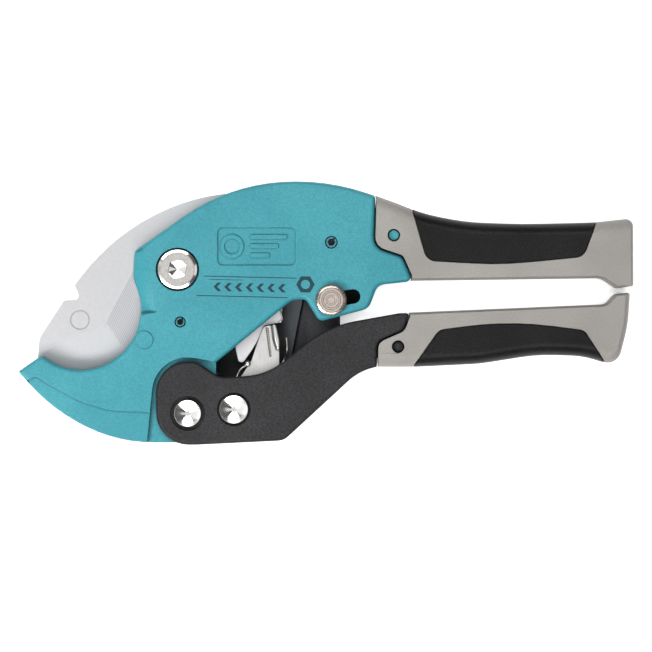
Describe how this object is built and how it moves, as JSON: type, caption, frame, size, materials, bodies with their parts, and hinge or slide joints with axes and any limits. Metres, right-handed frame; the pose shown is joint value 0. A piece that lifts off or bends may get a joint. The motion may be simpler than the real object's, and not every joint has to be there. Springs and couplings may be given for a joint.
{
  "type": "pvc pipe cutter",
  "caption": "Ratcheting hand cutter for plastic pipe: hooked anvil, pivoting blade with a ratchet tail, pawl on the lever, sliding latch and two-tone grips.",
  "frame": {"origin": "on the rest surface, under the middle of the tool's length and width, the tool lying on its back", "axes": "+X from the jaws to the handle ends, +Y from the lever side to the blade's back, +Z out of the front face that carries the pivot bolt's head"},
  "size_m": [0.1999, 0.0856, 0.0213],
  "materials": {
    "teal_paint": "fine powder coat on die casting, satin",
    "blade_steel": "satin stainless with cross-ground edge",
    "bright_steel": "polished plated steel",
    "pressed_steel": "stamped steel, light satin",
    "spring_steel": "drawn wire",
    "black_steel": "black oxide",
    "bronze": "plain bronze",
    "dark_paint": "fine textured powder coat",
    "warm_nickel": "turned, warm nickel",
    "grey_grip": "satin moulded",
    "black_rubber": "soft moulded, matt"
  },
  "bodies": {
    "body": {"housing": "teal_paint", "pivot_bolt": "bright_steel", "pivot_nut": "black_steel", "thrust_washer_front": "bronze", "thrust_washer_rear": "bronze", "blade_stop_pin": "spring_steel", "spring_anchor_pin": "spring_steel", "blade_return_spring": "spring_steel", "lever_spring": "spring_steel", "upper_grip_sleeve": "grey_grip", "upper_grip_insert": "black_rubber"},
    "blade": {"blade": "blade_steel", "pivot_bush": "bronze", "spring_post": "pressed_steel"},
    "lever": {"lever": "dark_paint", "lever_pin": "bright_steel", "lever_pin_clip": "black_steel", "pawl_pin": "bright_steel", "pawl_pin_clip": "black_steel", "pawl_spring": "spring_steel", "lower_grip_sleeve": "grey_grip", "lower_grip_insert": "black_rubber"},
    "pawl": {"pawl": "pressed_steel"},
    "latch": {"latch_button": "warm_nickel", "latch_pin": "bright_steel", "latch_washer": "black_steel"}
  },
  "joints": [
    {"name": "blade_pivot", "type": "hinge", "parent": "body", "child": "blade", "pos_m": [-0.0482, 0.0142, 0.01], "axis": [0, 0, 1], "range_deg": [-50, 0], "deforming": ["blade_return_spring"]},
    {"name": "lever_hinge", "type": "hinge", "parent": "body", "child": "lever", "pos_m": [-0.0449, -0.0326, 0.01], "axis": [0, 0, 1], "range_deg": [-32, 0]},
    {"name": "pawl_pivot", "type": "hinge", "parent": "lever", "child": "pawl", "pos_m": [-0.0299, -0.0313, 0.01], "axis": [0, 0, 1], "range_deg": [-8, 0], "stiffness_Nm_per_rad": 0.02},
    {"name": "latch_slide", "type": "slide", "parent": "body", "child": "latch", "axis": [0.9854, 0.1702, 0], "range_m": [0, 0.0072]}
  ]
}
